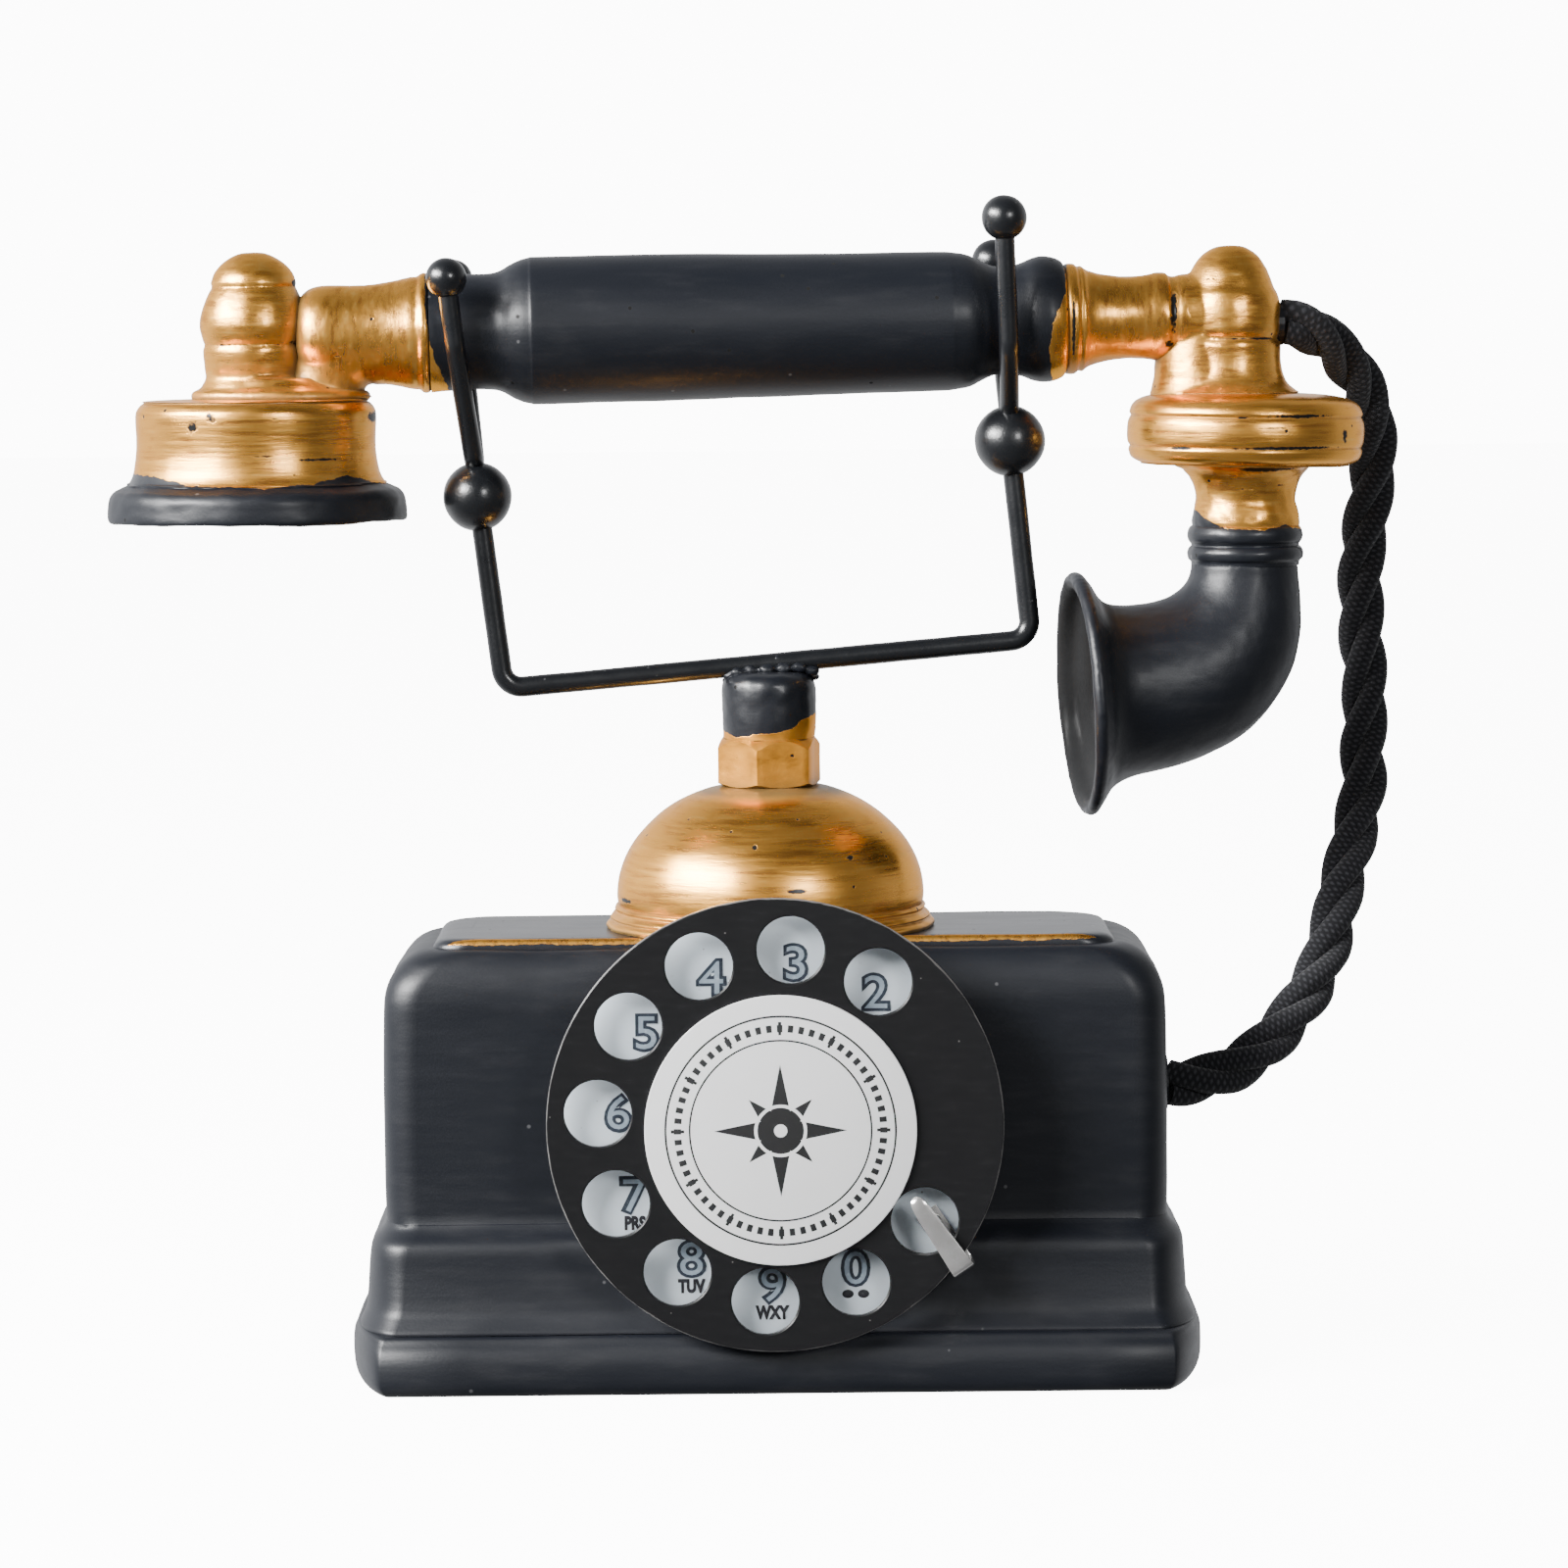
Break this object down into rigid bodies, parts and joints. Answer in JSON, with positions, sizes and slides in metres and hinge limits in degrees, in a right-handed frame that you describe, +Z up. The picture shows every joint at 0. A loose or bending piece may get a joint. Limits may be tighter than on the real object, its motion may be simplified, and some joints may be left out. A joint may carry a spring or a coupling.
{
  "type": "french-style cradle phone",
  "caption": "Vintage cradle telephone: black flared base, gold bell dome, wire cradle, rotary dial, horn handset with gold fittings and a twisted cord.",
  "frame": {"origin": "middle of the felt pad's underside", "axes": "+Z up, -Y out of the dial, +X towards the cord side"},
  "size_m": [0.2213, 0.0731, 0.1988],
  "materials": {
    "plinth": "satin black paint on a casting",
    "housing": "satin black paint on a casting",
    "top_plate": "satin black with a gold line along the front edge",
    "base_cover": "plain dark sheet",
    "base_pad": "black felt",
    "cover_screw_1": "plain",
    "cover_screw_2": "plain",
    "cover_screw_3": "plain",
    "cover_screw_4": "plain",
    "bell_base": "brushed gold paint",
    "bell_dome": "brushed gold paint",
    "hex_nut": "brushed gold paint",
    "stem_cap": "satin black paint with a ragged gold edge",
    "stem_rod": "threaded rod, threads left out",
    "stem_nut": "plain",
    "cradle_rod": "gloss black wire",
    "cradle_ball_left": "gloss black",
    "cradle_ball_right": "gloss black",
    "fork_left": "gloss black wire",
    "fork_right": "gloss black wire",
    "fork_tip_left_front": "gloss black",
    "fork_tip_left_rear": "gloss black",
    "fork_tip_right_front": "gloss black",
    "fork_tip_right_rear": "gloss black",
    "dial_cup": "satin black spacer",
    "number_plate": "white enamel with outlined digits",
    "dial_bush": "plain turned brass",
    "dial_nut": "plain",
    "finger_stop": "bright bent strip",
    "stop_screw": "plain",
    "cord_grommet_base": "black",
    "cord": "black twisted textile cord",
    "finger_wheel": "semi-gloss black sheet",
    "wheel_label": "white printed disc with a plain ring ornament",
    "wheel_spindle": "plain",
    "spindle_clip": "plain",
    "grip": "satin black paint",
    "grip_rod": "plain rod",
    "ear_elbow": "brushed gold paint",
    "ear_boss": "brushed gold paint",
    "ear_drum": "brushed gold paint with black pits",
    "ear_stud": "plain",
    "ear_cap": "satin black paint, ragged gold edge",
    "mouth_ferrule": "brushed gold paint",
    "mouth_knob": "brushed gold paint",
    "mouth_disc": "brushed gold paint, black in the grooves",
    "mouth_neck": "brushed gold paint, ragged lower edge",
    "mouth_stud": "plain",
    "horn_collar": "satin black paint",
    "horn": "satin black paint",
    "cord_grommet_handset": "black"
  },
  "bodies": {
    "base": {"plinth": "plinth", "housing": "housing", "top_plate": "top_plate", "base_cover": "base_cover", "base_pad": "base_pad", "cover_screw_1": "cover_screw_1", "cover_screw_2": "cover_screw_2", "cover_screw_3": "cover_screw_3", "cover_screw_4": "cover_screw_4", "bell_base": "bell_base", "bell_dome": "bell_dome", "hex_nut": "hex_nut", "stem_cap": "stem_cap", "stem_rod": "stem_rod", "stem_nut": "stem_nut", "cradle_rod": "cradle_rod", "cradle_ball_left": "cradle_ball_left", "cradle_ball_right": "cradle_ball_right", "fork_left": "fork_left", "fork_right": "fork_right", "fork_tip_left_front": "fork_tip_left_front", "fork_tip_left_rear": "fork_tip_left_rear", "fork_tip_right_front": "fork_tip_right_front", "fork_tip_right_rear": "fork_tip_right_rear", "dial_cup": "dial_cup", "number_plate": "number_plate", "dial_bush": "dial_bush", "dial_nut": "dial_nut", "finger_stop": "finger_stop", "stop_screw": "stop_screw", "cord_grommet_base": "cord_grommet_base", "cord": "cord"},
    "wheel": {"finger_wheel": "finger_wheel", "wheel_label": "wheel_label", "wheel_spindle": "wheel_spindle", "spindle_clip": "spindle_clip"},
    "handset": {"grip": "grip", "grip_rod": "grip_rod", "ear_elbow": "ear_elbow", "ear_boss": "ear_boss", "ear_drum": "ear_drum", "ear_stud": "ear_stud", "ear_cap": "ear_cap", "mouth_ferrule": "mouth_ferrule", "mouth_knob": "mouth_knob", "mouth_disc": "mouth_disc", "mouth_neck": "mouth_neck", "mouth_stud": "mouth_stud", "horn_collar": "horn_collar", "horn": "horn", "cord_grommet_handset": "cord_grommet_handset"}
  },
  "joints": [
    {"name": "wheel_spin", "type": "hinge", "parent": "base", "child": "wheel", "pos_m": [0, -0.0363, 0.0459], "axis": [0, 1, 0], "continuous": true},
    {"name": "handset_lift", "type": "slide", "parent": "base", "child": "handset", "axis": [0, 0, 1], "range_m": [0, 0.032], "deforming": ["cord"]}
  ]
}
